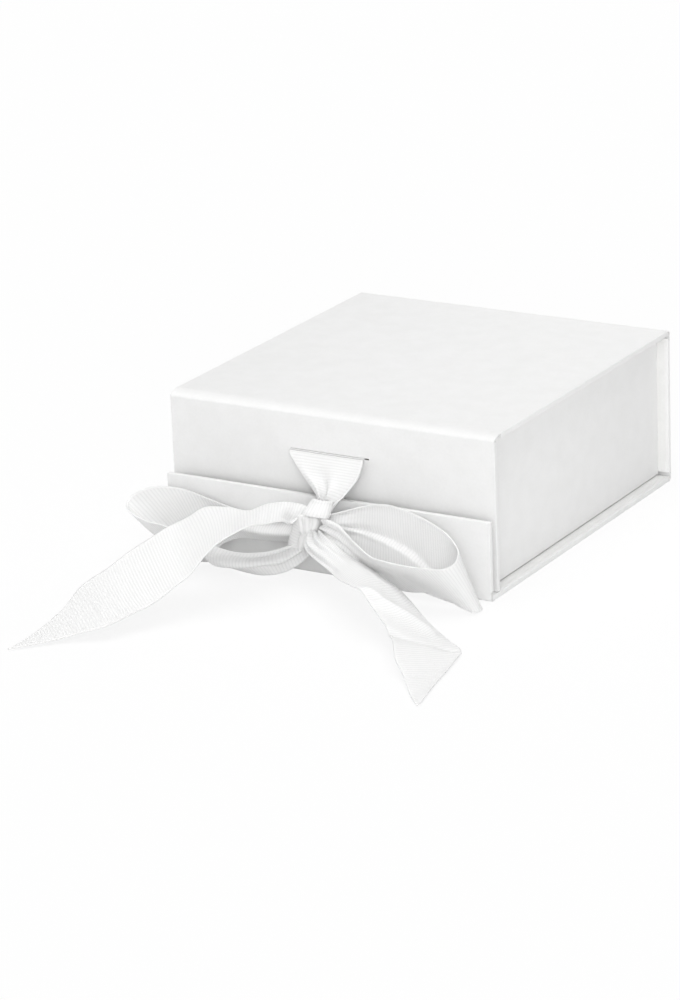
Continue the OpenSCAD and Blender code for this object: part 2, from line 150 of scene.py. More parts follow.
def addStudio(v):
    world = bpy.data.worlds.new("studio")
    scene.world = world
    world.use_nodes = True
    tree = world.node_tree
    tree.nodes.clear()
    path = node(tree, "ShaderNodeLightPath")
    seen = mathNode(tree, "MAXIMUM", path.outputs["Is Camera Ray"], path.outputs["Is Glossy Ray"])
    seen = mathNode(tree, "MAXIMUM", seen, path.outputs["Is Transmission Ray"])
    sky = node(tree, "ShaderNodeBackground", Strength=v["skyStrength"])
    white = node(tree, "ShaderNodeBackground", Strength=1.0)
    sky.inputs["Color"].default_value = white.inputs["Color"].default_value = (1, 1, 1, 1)
    mix = node(tree, "ShaderNodeMixShader", i0=seen, i1=sky.outputs[0], i2=white.outputs[0])
    node(tree, "ShaderNodeOutputWorld", Surface=mix.outputs[0])

    for name, (toward, strength, wide) in v["lamps"].items():
        lamp = bpy.data.lights.new(name, "SUN")
        lamp.energy = strength
        lamp.angle = math.radians(wide)
        made = bpy.data.objects.new(name, lamp)
        made.rotation_euler = Vector(toward).to_track_quat("Z", "Y").to_euler()
        scene.collection.objects.link(made)

    bpy.ops.mesh.primitive_plane_add(size=v["floorSize"], location=(0, 0, 0))
    floor = bpy.context.object
    floor.name = "studioFloor"
    paint, tree = newMaterial("studioFloor")
    path = node(tree, "ShaderNodeLightPath")
    share = mathNode(tree, "MULTIPLY", path.outputs["Is Camera Ray"], v["floorGlow"])
    plain = node(tree, "ShaderNodeBsdfDiffuse", Color=v["floorColour"])
    glow = node(tree, "ShaderNodeEmission", Color=(1, 1, 1, 1), Strength=1.0)
    mix = node(tree, "ShaderNodeMixShader", i0=share, i1=plain.outputs[0], i2=glow.outputs[0])
    node(tree, "ShaderNodeOutputMaterial", Surface=mix.outputs[0])
    floor.data.materials.append(paint)


addStudio(studio)
print("camera and studio ready")


# Materials
def coords(tree, scale):
    place = node(tree, "ShaderNodeTexCoord")
    return node(tree, "ShaderNodeMapping", i0=place.outputs["Object"], Scale=(scale, scale, scale)).outputs[0]


def noiseNode(tree, scale, detail, roughness=0.5):
    made = node(tree, "ShaderNodeTexNoise", Vector=coords(tree, scale), Scale=1.0, Detail=detail)
    made.inputs["Roughness"].default_value = roughness
    return made.outputs[0]


def unevenRoughness(tree, pattern, v, patternLow=0.3, patternHigh=0.7):
    low, high = v["roughness"] - v["roughSpread"], v["roughness"] + v["roughSpread"]
    return rangeNode(tree, pattern, patternLow, patternHigh, low, high)


coverPaper = {
    "colour": (0.895, 0.895, 0.892, 1),
    "fibreShade": (0.865, 0.865, 0.860, 1),
    "fibreScale": 900,
    "fibreDetail": 4.0,
    "fibreFineness": 0.6,
    "mottleScale": 140,
    "mottleDetail": 3.0,
    "shadeFrom": 0.75,  # sum of both patterns where the paper is darkest, and where lightest
    "shadeTo": 1.25,
    "roughness": 0.62,
    "roughSpread": 0.06,
    "specular": 0.35,
    "bump": 0.00004,
    "bumpStrength": 0.6,
}
liningPaper = dict(
    coverPaper, colour=(0.88, 0.88, 0.87, 1), fibreShade=(0.84, 0.84, 0.83, 1), roughness=0.8, bump=0.00006,
)
cornerTape = dict(
    coverPaper, colour=(0.86, 0.86, 0.84, 1), fibreShade=(0.80, 0.80, 0.78, 1), roughness=0.75,
)
greyBoard = dict(
    coverPaper, colour=(0.42, 0.40, 0.36, 1), fibreShade=(0.30, 0.285, 0.26, 1), fibreScale=700,
    roughness=0.9, bump=0.0001,
)


def paperMaterial(name, v):
    made, tree = newMaterial(name)
    fibre = noiseNode(tree, v["fibreScale"], v["fibreDetail"], v["fibreFineness"])
    mottle = noiseNode(tree, v["mottleScale"], v["mottleDetail"])
    both = mathNode(tree, "ADD", fibre, mottle)
    colour = mixNode(tree, rangeNode(tree, both, v["shadeFrom"], v["shadeTo"]), v["fibreShade"], v["colour"])
    rough = unevenRoughness(tree, fibre, v)
    bump = node(tree, "ShaderNodeBump", Height=fibre, Distance=v["bump"], Strength=v["bumpStrength"])
    skin = node(tree, "ShaderNodeBsdfPrincipled", Base_Color=colour, Roughness=rough, Normal=bump.outputs[0])
    skin.inputs["Specular IOR Level"].default_value = v["specular"]
    node(tree, "ShaderNodeOutputMaterial", Surface=skin.outputs[0])
    return made


magnetMetal = {
    "colour": (0.66, 0.66, 0.67, 1),
    "roughness": 0.28,
    "roughSpread": 0.08,
    "scratchScale": 2500,
    "scratchDetail": 2.0,
}


def metalMaterial(name, v):
    made, tree = newMaterial(name)
    rough = unevenRoughness(tree, noiseNode(tree, v["scratchScale"], v["scratchDetail"]), v)
    skin = node(tree, "ShaderNodeBsdfPrincipled", Base_Color=v["colour"], Metallic=1.0, Roughness=rough)
    node(tree, "ShaderNodeOutputMaterial", Surface=skin.outputs[0])
    return made


grosgrain = {
    "crest": (0.92, 0.92, 0.917, 1),
    # The grooves' colour below is painted shade: the rib grooves are drawn darker than the crests, on top of
    # the ribs' own geometry.
    "grooveShade": (0.86, 0.86, 0.857, 1),
    "crestFrom": 0.2,  # height of the rib's wave, from -1 to 1, where its crest's colour is full
    "selvedge": (0.93, 0.93, 0.927, 1),
    "rimFrom": 0.6,  # shares of the selvedge's width between which its colour fades out
    "rimTo": 1.4,
    "threadPitch": 0.00026,  # warp threads that run along the ribbon
    "threadBump": 0.00003,
    "threadStrength": 0.5,
    "roughness": 0.72,
    "specular": 0.3,
    "sheen": 0.15,
    "sheenRoughness": 0.4,
}
ribbonCut = {
    "width": 0.034,
    "thickness": 0.00040,
    "ribPitch": 0.00127,
    "ribHeight": 0.00004,
    "selvedge": 0.0008,
    "selvedgeBead": 0.00008,
    "beadFrom": 0.5,  # shares of the selvedge's width between which the bead gives way to ribs
    "beadTo": 1.6,
    "stepsPerRib": 5,
    "columns": 46,
    "curveSteps": 40,  # between two rows of a table, before the even sampling
    "pleatSharpness": 0.25,
    "creaseSharpness": 1.3,
    "floorGap": 0.0005,
    "weld": 1e-7,
}


def ribbonMaterial(name, v, cut):
    made, tree = newMaterial(name)

    def wave(label, pitch):
        place = node(tree, "ShaderNodeAttribute", {"attribute_name": label}).outputs["Fac"]
        return mathNode(tree, "COSINE", mathNode(tree, "MULTIPLY", place, 2 * math.pi / pitch))

    # Painted shade: the colour darkens from the crests into the rib grooves, following the rib's wave.
    crest = rangeNode(tree, wave("alongRibbon", cut["ribPitch"]), -1.0, v["crestFrom"])
    ribShadedColour = mixNode(tree, crest, v["grooveShade"], v["crest"])
    edge = node(tree, "ShaderNodeAttribute", {"attribute_name": "fromEdge"}).outputs["Fac"]
    rim = rangeNode(tree, edge, cut["selvedge"] * v["rimFrom"], cut["selvedge"] * v["rimTo"])
    colour = mixNode(tree, rim, v["selvedge"], ribShadedColour)
    threads = wave("overRibbon", v["threadPitch"])
    bump = node(tree, "ShaderNodeBump", Height=threads, Distance=v["threadBump"])
    bump.inputs["Strength"].default_value = v["threadStrength"]
    cloth = node(tree, "ShaderNodeBsdfPrincipled", Base_Color=colour, Normal=bump.outputs[0])
    cloth.inputs["Roughness"].default_value = v["roughness"]
    cloth.inputs["Specular IOR Level"].default_value = v["specular"]
    cloth.inputs["Sheen Weight"].default_value = v["sheen"]
    cloth.inputs["Sheen Roughness"].default_value = v["sheenRoughness"]
    node(tree, "ShaderNodeOutputMaterial", Surface=cloth.outputs[0])
    return made


finishes = {
    "white_paper": paperMaterial("whiteCoverPaper", coverPaper),
    "liner_paper": paperMaterial("whiteLiningPaper", liningPaper),
    "tape": paperMaterial("whiteCornerTape", cornerTape),
    "grey_board": paperMaterial("greyBoard", greyBoard),
    "magnet": metalMaterial("nickelMagnet", magnetMetal),
    "ribbon": ribbonMaterial("whiteGrosgrain", grosgrain, ribbonCut),
}
slotOf = {s["node"]: s["material_slot"] for s in frame["record"]["subparts"]}
for name, cadNode in nodes.items():
    cadNode.data.materials.clear()
    cadNode.data.materials.append(finishes[slotOf[name]])
print("materials ready:", len(finishes))

# Covered panels
box = {
    "paper": 0.00012,
    "turnIn": 0.014,  # width of the paper that is turned in round a board's edges
    "edgeRound": 0.0003,
    "edgeSteps": 3,
    "foldRadius": 0.0016,
    "foldThick": 0.00024,
    "foldSteps": 12,
    "riseSteps": 6,
    "topFoldDeep": 0.006,
    "topFoldHigh": 0.0024,
    "sharpAngle": 35,
    "cutPast": 0.001,  # reach of a cutting block past the faces that it opens
    "cutInto": 0.0002,  # and into the board's space
    "near": 1e-6,  # an edge this close to a face lies on it
}


def newObject(name, bm):
    mesh = bpy.data.meshes.new(name)
    bmesh.ops.recalc_face_normals(bm, faces=bm.faces)
    for face in bm.faces:
        face.smooth = True
    bm.to_mesh(mesh)
    bm.free()
    made = bpy.data.objects.new(name, mesh)
    scene.collection.objects.link(made)
    return made


def blockMesh(low, high):
    bm = bmesh.new()
    bmesh.ops.create_cube(bm, size=1)
    low, high = Vector(low), Vector(high)
    for v in bm.verts:
        v.co = Vector((low[i] if v.co[i] < 0 else high[i]) for i in range(3))
    return bm


# Applies what is live on an object, and keeps the result as its own mesh
def settled(obj):
    bpy.context.view_layer.update()
    seen = obj.evaluated_get(bpy.context.evaluated_depsgraph_get())
    mesh = bpy.data.meshes.new_from_object(seen)
    obj.modifiers.clear()
    old, obj.data = obj.data, mesh
    bpy.data.meshes.remove(old)
    mesh.name = obj.name
    return obj


def cutAway(obj, cutters):
    for cutter in cutters:
        step = obj.modifiers.new("cut", "BOOLEAN")
        step.operation = "DIFFERENCE"
        step.solver = "EXACT"
        step.object = cutter
    settled(obj)
    for cutter in cutters:
        bpy.data.objects.remove(cutter)
    return obj


# Covering paper round one board. outSide is the axis and sign of its outer face, and
# kept holds the outer face's edges that run on into a fold, so they stay sharp.
def coveredPanel(name, low, high, board, outSide, kept=(), window=True, cuts=()):
    axis, sign = outSide
    bm = blockMesh(low, high)
    ends = (Vector(low), Vector(high))

    def liesOn(place, a, s):
        return abs(place[a] - ends[s > 0][a]) < box["near"]

    rounded = []
    for edge in bm.edges:
        middle = (edge.verts[0].co + edge.verts[1].co) / 2
        runsOn = any(liesOn(middle, a, s) for a, s in kept)
        if not (liesOn(middle, axis, sign) and runsOn):
            rounded.append(edge)
    bmesh.ops.bevel(
        bm, geom=rounded, offset=box["edgeRound"], segments=box["edgeSteps"], profile=0.5,
        affect="EDGES", clamp_overlap=True,
    )
    panel = newObject(name, bm)
    cutters = [newObject("boardSpace", blockMesh(*board))]
    if window:
        inLow, inHigh = Vector(low), Vector(high)
        for a in range(3):
            if a != axis:
                back = min(box["turnIn"], (high[a] - low[a]) / 3)
                inLow[a] += back
                inHigh[a] -= back
        if sign > 0:
            inLow[axis], inHigh[axis] = low[axis] - box["cutPast"], board[0][axis] + box["cutInto"]
        else:
            inLow[axis], inHigh[axis] = board[1][axis] - box["cutInto"], high[axis] + box["cutPast"]
        cutters.append(newObject("liningSpace", blockMesh(inLow, inHigh)))
    cutters += [newObject("slotSpace", blockMesh(*c)) for c in cuts]
    return cutAway(panel, cutters)


def roundBoard(boardNode):
    low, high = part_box(boardNode)
    rim = Vector((box["paper"],) * 3)
    return low - rim, high + rim, (low, high)


# Paper fold: an outline of (y, z) pairs, extruded along the box's width
def paperFold(name, outer, inner, halfWidth):
    bm = bmesh.new()
    ring = outer + inner[::-1]
    left, right = [[bm.verts.new((x, y, z)) for y, z in ring] for x in (-halfWidth, halfWidth)]
    n = len(ring)
    for i in range(n):
        bm.faces.new((left[i], left[(i + 1) % n], right[(i + 1) % n], right[i]))
    for row in (left, right):
        for i in range(len(outer) - 1):
            bm.faces.new((row[i], row[i + 1], row[n - 2 - i], row[n - 1 - i]))
    return newObject(name, bm)


# Fold round a lower or upper edge at (yFace, zFace): side is -1 in front and 1 behind,
# lift is 1 where the fold rises from the face and -1 where it hangs from it.
def cornerFold(name, yFace, zFace, side, lift, rise, halfWidth):
    r, t, steps = box["foldRadius"], box["foldThick"], box["foldSteps"]

    def path(inset):
        places = []
        for i in range(steps + 1):
            a = math.pi / 2 * i / steps
            y = yFace - side * (r - (r - inset) * math.sin(a))
            z = zFace + lift * (r - (r - inset) * math.cos(a))
            places.append((y, z))
        for i in range(1, box["riseSteps"] + 1):
            z = zFace + lift * (r + (rise - r) * i / box["riseSteps"])
            places.append((yFace - side * inset, z))
        return places

    return paperFold(name, path(0), path(t), halfWidth)


def joined(name, parts):
    bm = bmesh.new()
    for part in parts:
        bm.from_mesh(part.data)
        bpy.data.objects.remove(part)
    mesh = bpy.data.meshes.new(name)
    bm.to_mesh(mesh)
    bm.free()
    made = bpy.data.objects.new(name, mesh)
    scene.collection.objects.link(made)
    return made


def finishPaper(obj, body, replaced):
    obj.data.materials.clear()
    obj.data.materials.append(finishes["white_paper"])
    for face in obj.data.polygons:
        face.use_smooth = True
    obj.data.set_sharp_from_angle(angle=math.radians(box["sharpAngle"]))
    if body:
        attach(obj, body)
    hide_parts(replaced)
    return obj


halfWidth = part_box("cover_wrap")[1].x
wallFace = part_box("front_board")[0].y - box["paper"]
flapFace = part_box("flap_board")[0].y - box["paper"]
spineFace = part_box("spine_board")[1].y + box["paper"]
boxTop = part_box("floor_board")[1].z + box["paper"]
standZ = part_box("flap_board")[0].z - box["paper"]

low, high, board = roundBoard("cover_board")
coverSkin = coveredPanel("coverSkin", low, high, board, (2, -1), kept=((1, -1), (1, 1)))
finishPaper(coverSkin, "cover", "cover_wrap")

low, high, board = roundBoard("flap_board")
flapSkin = coveredPanel("flapSkin", low, high, board, (1, -1), kept=((2, -1),))
finishPaper(flapSkin, "flap", "flap_wrap")

ribbonSlot = {"halfWidth": 0.0182, "low": 0.04965, "high": 0.05025, "front": 0.002, "behind": 0.006}
slotSpace = (
    (-ribbonSlot["halfWidth"], wallFace - ribbonSlot["front"], ribbonSlot["low"]),
    (ribbonSlot["halfWidth"], wallFace + ribbonSlot["behind"], ribbonSlot["high"]),
)
low, high, board = roundBoard("front_board")
frontSkin = coveredPanel("frontSkin", low, high, board, (1, -1), kept=((2, 1),), cuts=(slotSpace,))
low, high, board = roundBoard("floor_board")
topSkin = coveredPanel("topSkin", low, high, board, (2, 1), kept=((1, -1), (1, 1)))
low, high, board = roundBoard("spine_board")
spineSkin = coveredPanel("spineSkin", low, high, board, (1, 1), kept=((2, -1), (2, 1)))


def topFoldPath(inset):
    d, h = box["topFoldDeep"] - inset, box["topFoldHigh"] - inset
    places = []
    for i in range(box["foldSteps"] + 1):
        a = math.pi / 2 * i / box["foldSteps"]
        y = wallFace + box["topFoldDeep"] - d * math.cos(a)
        z = boxTop - box["topFoldHigh"] + h * math.sin(a)
        places.append((y, z))
    return places


frontFold = paperFold("frontFold", topFoldPath(0), topFoldPath(box["foldThick"]), halfWidth)
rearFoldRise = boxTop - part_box("spine_board")[1].z - box["paper"]
rearFold = cornerFold("rearFold", spineFace, boxTop, 1, -1, rearFoldRise, halfWidth)
traySkin = joined("traySkin", [frontSkin, topSkin, spineSkin, frontFold, rearFold])
finishPaper(traySkin, "tray", "tray_wrap")

# The side walls' upper edge is bare board, since the closed face is glued on it
for side, sign in (("left", -1), ("right", 1)):
    low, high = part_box(side + "_side_wrap")
    board = [Vector(v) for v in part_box(side + "_side_board")]
    board[1].z += box["cutPast"]
    panel = coveredPanel(side + "SideSkin", low, high, board, (0, sign), kept=((2, 1),), window=False)
    finishPaper(panel, "tray", side + "_side_wrap")

frontHinge = cornerFold("frontHingePaper", flapFace, 0, -1, 1, standZ, halfWidth)
finishPaper(frontHinge, None, "front_hinge")
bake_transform(frontHinge)
rearHinge = cornerFold("rearHingePaper", spineFace, 0, 1, 1, standZ, halfWidth)
finishPaper(rearHinge, None, "rear_hinge")
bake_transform(rearHinge)
print("covered panels and folds ready")

# Ribbon
# Every row crosses the ribbon from its upper to its lower edge, as in the part's source.
# A place is x and forward reach in ribbon widths, then z in slot heights.
slotHeight = 0.0502
neckRows = [
    [[-0.53, 0.03, 0.99], [-0.03, 0.03, 0.99], [0.47, 0.03, 0.99]],
    [[-0.50, 0.07, 0.95], [-0.02, 0.06, 0.95], [0.48, 0.07, 0.95]],
    [[-0.28, 0.18, 0.84], [0.03, 0.15, 0.84], [0.46, 0.18, 0.86]],
    [[-0.06, 0.28, 0.74], [0.10, 0.25, 0.74], [0.33, 0.28, 0.74]],
    [[0.02, 0.33, 0.68], [0.11, 0.30, 0.68], [0.23, 0.33, 0.68]],
    [[0.04, 0.37, 0.62], [0.10, 0.35, 0.62], [0.17, 0.37, 0.62]],
]
leftTailRows = [
    [[-0.04, 0.27, 0.63], [-0.09, 0.34, 0.60], [-0.13, 0.38, 0.56]],
    [[-0.19, 0.28, 0.65], [-0.17, 0.42, 0.60], [-0.15, 0.53, 0.54]],
    [[-0.35, 0.31, 0.65], [-0.24, 0.55, 0.66], [-0.12, 0.78, 0.62]],
    [[-0.56, 0.37, 0.63], [-0.38, 0.69, 0.66], [-0.21, 1.02, 0.64]],
    [[-0.76, 0.49, 0.58], [-0.53, 0.84, 0.64], [-0.29, 1.22, 0.66]],
    [[-0.97, 0.60, 0.61], [-0.68, 1.02, 0.62], [-0.41, 1.43, 0.62]],
    [[-1.15, 0.81, 0.64], [-0.82, 1.16, 0.60], [-0.53, 1.57, 0.56]],
    [[-1.29, 0.99, 0.58], [-0.94, 1.34, 0.54], [-0.62, 1.69, 0.48]],
    [[-1.41, 1.22, 0.54], [-1.06, 1.55, 0.44], [-0.71, 1.87, 0.36]],
    [[-1.53, 1.46, 0.48], [-1.18, 1.78, 0.38], [-0.82, 2.10, 0.28]],
    [[-1.68, 1.72, 0.40], [-1.32, 2.05, 0.30], [-0.94, 2.34, 0.20]],
    [[-1.79, 1.96, 0.32], [-1.44, 2.28, 0.24], [-1.06, 2.57, 0.16]],
    [[-1.97, 2.25, 0.22], [-1.59, 2.57, 0.18], [-1.21, 2.90, 0.12]],
    [[-1.97, 2.66, 0.12], [-1.71, 2.87, 0.10], [-1.44, 3.05, 0.08]],
    [[-2.00, 3.13, 0.05], [-1.85, 3.19, 0.05], [-1.68, 3.25, 0.04]],
    [[-2.03, 3.63, 0.02], [-2.04, 3.65, 0.02], [-2.05, 3.66, 0.02]],
]
leftLoopRows = [
    [[-0.09, 0.22, 0.50], [-0.12, 0.19, 0.42], [-0.12, 0.19, 0.36]],
    [[-0.41, 0.16, 0.50], [-0.38, 0.13, 0.40], [-0.38, 0.12, 0.28]],
    [[-0.82, 0.12, 0.47], [-0.76, 0.12, 0.36], [-0.71, 0.12, 0.25]],
    [[-1.18, 0.10, 0.47], [-1.12, 0.12, 0.36], [-1.06, 0.12, 0.24]],
    [[-1.56, 0.10, 0.52], [-1.44, 0.12, 0.36], [-1.32, 0.12, 0.18]],
    [[-1.91, 0.13, 0.58], [-1.71, 0.13, 0.32], [-1.50, 0.12, 0.08]],
    [[-2.24, 0.22, 0.59], [-1.94, 0.15, 0.31], [-1.65, 0.12, 0.03]],
    [[-2.44, 0.34, 0.54], [-2.15, 0.22, 0.28], [-1.79, 0.15, 0.02]],
    [[-2.50, 0.46, 0.48], [-2.18, 0.34, 0.24], [-1.85, 0.21, 0.02]],
    [[-2.35, 0.63, 0.45], [-2.09, 0.46, 0.22], [-1.79, 0.28, 0.02]],
    [[-2.06, 0.75, 0.43], [-1.88, 0.55, 0.22], [-1.65, 0.31, 0.02]],
    [[-1.76, 0.81, 0.43], [-1.65, 0.56, 0.22], [-1.47, 0.24, 0.02]],
    [[-1.46, 0.75, 0.37], [-1.38, 0.66, 0.20], [-1.25, 0.26, 0.03]],
    [[-1.14, 0.66, 0.28], [-1.10, 0.76, 0.18], [-0.98, 0.38, 0.05]],
    [[-0.90, 0.60, 0.24], [-0.86, 0.74, 0.17], [-0.77, 0.44, 0.05]],
    [[-0.64, 0.50, 0.24], [-0.60, 0.66, 0.17], [-0.55, 0.44, 0.06]],
    [[-0.36, 0.42, 0.29], [-0.32, 0.46, 0.20], [-0.33, 0.36, 0.11]],
    [[-0.12, 0.28, 0.34], [-0.09, 0.27, 0.30], [-0.09, 0.25, 0.24]],
]
rightLoopRows = [
    [[0.16, 0.22, 0.57], [0.18, 0.22, 0.46], [0.16, 0.23, 0.33]],
    [[0.35, 0.16, 0.61], [0.35, 0.18, 0.47], [0.35, 0.20, 0.28]],
    [[0.62, 0.11, 0.67], [0.62, 0.13, 0.46], [0.60, 0.18, 0.20]],
    [[0.88, 0.11, 0.71], [0.91, 0.15, 0.43], [0.91, 0.21, 0.14]],
    [[1.18, 0.12, 0.69], [1.21, 0.16, 0.40], [1.24, 0.24, 0.10]],
    [[1.50, 0.16, 0.64], [1.53, 0.20, 0.35], [1.56, 0.28, 0.06]],
    [[1.76, 0.22, 0.58], [1.82, 0.25, 0.30], [1.88, 0.27, 0.02]],
    [[1.94, 0.34, 0.53], [2.03, 0.31, 0.27], [2.12, 0.25, 0.02]],
    [[2.04, 0.46, 0.50], [2.14, 0.37, 0.25], [2.21, 0.26, 0.02]],
    [[2.06, 0.60, 0.45], [2.18, 0.48, 0.22], [2.25, 0.34, 0.02]],
    [[1.97, 0.72, 0.42], [2.11, 0.57, 0.22], [2.21, 0.43, 0.02]],
    [[1.82, 0.81, 0.43], [1.95, 0.61, 0.23], [2.06, 0.45, 0.05]],
    [[1.56, 0.84, 0.43], [1.71, 0.61, 0.25], [1.86, 0.40, 0.08]],
    [[1.26, 0.81, 0.43], [1.41, 0.59, 0.27], [1.59, 0.39, 0.11]],
    [[1.00, 0.69, 0.42], [1.12, 0.57, 0.27], [1.27, 0.38, 0.09]],
    [[0.71, 0.55, 0.48], [0.77, 0.49, 0.33], [0.83, 0.36, 0.13]],
    [[0.42, 0.38, 0.55], [0.43, 0.39, 0.43], [0.44, 0.36, 0.32]],
    [[0.15, 0.30, 0.57], [0.12, 0.31, 0.47], [0.10, 0.30, 0.39]],
]
rightTailRows = [
    [[0.12, 0.32, 0.455], [0.05, 0.35, 0.455], [-0.03, 0.38, 0.455]],
    [[0.25, 0.34, 0.41], [0.14, 0.46, 0.40], [0.02, 0.50, 0.33]],
    [[0.50, 0.37, 0.32], [0.56, 0.69, 0.36], [0.59, 0.93, 0.31]],
    [[0.85, 0.46, 0.26], [0.88, 0.90, 0.36], [0.88, 1.22, 0.34]],
    [[1.12, 0.60, 0.23], [1.18, 1.07, 0.35], [1.21, 1.46, 0.37]],
    [[1.32, 0.66, 0.19], [1.44, 1.16, 0.29], [1.35, 1.55, 0.36]],
    [[1.56, 0.78, 0.13], [1.65, 1.31, 0.21], [1.47, 1.57, 0.30]],
    [[1.85, 0.96, 0.04], [1.91, 1.49, 0.16], [1.68, 1.69, 0.23]],
    [[2.15, 1.22, 0.02], [2.18, 1.69, 0.12], [1.91, 1.87, 0.18]],
    [[2.41, 1.37, 0.02], [2.29, 1.78, 0.11], [2.03, 2.03, 0.18]],
    [[2.65, 1.52, 0.02], [2.41, 1.87, 0.10], [2.15, 2.19, 0.18]],
    [[2.71, 1.72, 0.02], [2.50, 2.07, 0.08], [2.29, 2.40, 0.13]],
    [[2.79, 2.10, 0.02], [2.65, 2.37, 0.04], [2.53, 2.63, 0.06]],
    [[2.88, 2.60, 0.02], [2.82, 2.75, 0.02], [2.75, 2.90, 0.02]],
    [[3.00, 3.13, 0.02], [2.99, 3.14, 0.02], [2.98, 3.15, 0.02]],
]


def placedRows(rows, face):
    table = np.array(rows)
    w = ribbonCut["width"]
    return np.stack([table[..., 0] * w, face - table[..., 1] * w, table[..., 2] * slotHeight], -1)


# Smooth curve through every row of a table, sampled evenly along the ribbon's middle
def evenRows(table, spacing):
    last = len(table) - 1
    fine = np.linspace(0, last, last * ribbonCut["curveSteps"] + 1)
    k = np.minimum(fine.astype(int), last - 1)
    t = (fine - k)[:, None, None]
    p0, p1 = table[np.maximum(k - 1, 0)], table[k]
    p2, p3 = table[k + 1], table[np.minimum(k + 2, last)]
    dense = (
        2 * p1 + (p2 - p0) * t + (2 * p0 - 5 * p1 + 4 * p2 - p3) * t**2 + (3 * p1 - p0 - 3 * p2 + p3) * t**3
    ) / 2
    stretch = np.linalg.norm(np.diff(dense.mean(1), axis=0), axis=1)
    length = np.concatenate([[0], np.cumsum(stretch)])
    even = np.linspace(0, length[-1], max(4, round(length[-1] / spacing)) + 1)
    rowsAt = np.interp(even, length, fine)
    flat = dense.reshape(len(dense), -1)
    rows = np.stack([np.interp(rowsAt, fine, flat[:, c]) for c in range(flat.shape[1])], -1)
    return rows.reshape(-1, 3, 3), rowsAt, even


def eased(x):
    x = np.clip(x, 0, 1)
    return x * x * (3 - 2 * x)


def normalsOf(points):
    along = np.gradient(points, axis=0)
    over = np.gradient(points, axis=1)
    n = np.cross(along, over)
    return n / np.maximum(np.linalg.norm(n, axis=-1, keepdims=True), 1e-12)


# Pleats take up the width where a ribbon is drawn together. g says at which end, how many,
# how far they reach, and how much of the spare width they take up.
def pleats(g, even, u, chord):
    w = ribbonCut["width"]
    run = even if g["end"] == "start" else even[-1] - even
    spare = np.sqrt(np.maximum(0, (w / (4 * g["folds"])) ** 2 - (chord / (4 * g["folds"])) ** 2))
    size = spare * g["strength"] * (1 - eased(run / g["reach"]))
    turn = 2 * math.pi * (g["folds"] * u + g["phase"])
    return size[:, None] * (np.sin(turn) + ribbonCut["pleatSharpness"] * np.sin(2 * turn))


# A crease runs between places that c gives as a row and a share of the width.
def crease(c, rowsAt, u):
    rows, across = np.array(c["rows"]), np.array(c["across"])
    middle = np.interp(rowsAt, rows, across)
    inside = eased((rowsAt - rows[0]) / c["fade"]) * eased((rows[-1] - rowsAt) / c["fade"])
    side = (u - middle[:, None]) * ribbonCut["width"]
    away = np.where(side < 0, -side / c["softOver"], side / c["softUnder"])
    shape = np.exp(-(away ** ribbonCut["creaseSharpness"]))
    if "step" in c:  # one side dips as the other rises, as where a fold lies over itself
        shape = np.exp(-away) * np.tanh(side / c["step"])
    return inside[:, None] * c["height"] * shape


# Middle surface of a stretch of ribbon: its points, and each point's place on the cloth
def ribbonSurface(v):
    w = ribbonCut["width"]
    spacing = ribbonCut["ribPitch"] / ribbonCut["stepsPerRib"]
    rows, rowsAt, even = evenRows(placedRows(v["rows"], v["face"]), spacing)
    u = np.linspace(0, 1, ribbonCut["columns"] + 1)[None, :, None]
    upper, middle, lower = rows[:, :1], rows[:, 1:2], rows[:, 2:]
    points = upper * (1 - u) * (1 - 2 * u) + middle * 4 * u * (1 - u) + lower * u * (2 * u - 1)
    u = u[..., 0]
    normals = normalsOf(points)
    chord = np.linalg.norm(np.diff(points, axis=1), axis=2).sum(1)
    offset = np.zeros(points.shape[:2])
    for g in v["gathers"]:
        offset = offset + pleats(g, even, u, chord)
    for c in v.get("creases", []):
        offset = offset + crease(c, rowsAt, u)
    points = points + normals * offset[..., None]
    points[..., 2] = np.maximum(points[..., 2], ribbonCut["floorGap"])
    along = np.repeat(even[:, None], u.shape[1], 1)
    over = np.repeat(u, len(even), 0) * w
    fromEdge = np.minimum(over, w - over)
    if "cutRow" in v:  # past this row the end is cut slanting, and its upper edge is no selvedge
        first = int(np.searchsorted(rowsAt, v["cutRow"]))
        corner, free = points[first, -1], points[first, 0]
        line = (free - corner) / np.linalg.norm(free - corner)
        rest = points[first:] - corner
        across = rest @ line
        away = np.linalg.norm(rest - across[..., None] * line, axis=-1)
        along[first:] = even[first] + away
        over[first:] = np.clip(w - across, 0, w)
        narrow = np.linalg.norm(points[first:, :1] - points[first:, -1:], axis=-1)
        fromEdge[first:] = (1 - u) * narrow
    return points, along, over, fromEdge


def surfaceObject(name, points, along, over, fromEdge, closed=False):
    n, m = points.shape[:2]
    mesh = bpy.data.meshes.new(name)
    faces = []
    for i in range(n if closed else n - 1):
        a, b = i * m, ((i + 1) % n) * m
        faces += [(a + j, b + j, b + j + 1, a + j + 1) for j in range(m - 1)]
    mesh.from_pydata([tuple(p) for p in points.reshape(-1, 3)], [], faces)
    for label, values in (("alongRibbon", along), ("overRibbon", over), ("fromEdge", fromEdge)):
        layer = mesh.attributes.new(label, "FLOAT", "POINT")
        layer.data.foreach_set("value", values.astype(np.float32).ravel())
    for face in mesh.polygons:
        face.use_smooth = True
    made = bpy.data.objects.new(name, mesh)
    scene.collection.objects.link(made)
    return made


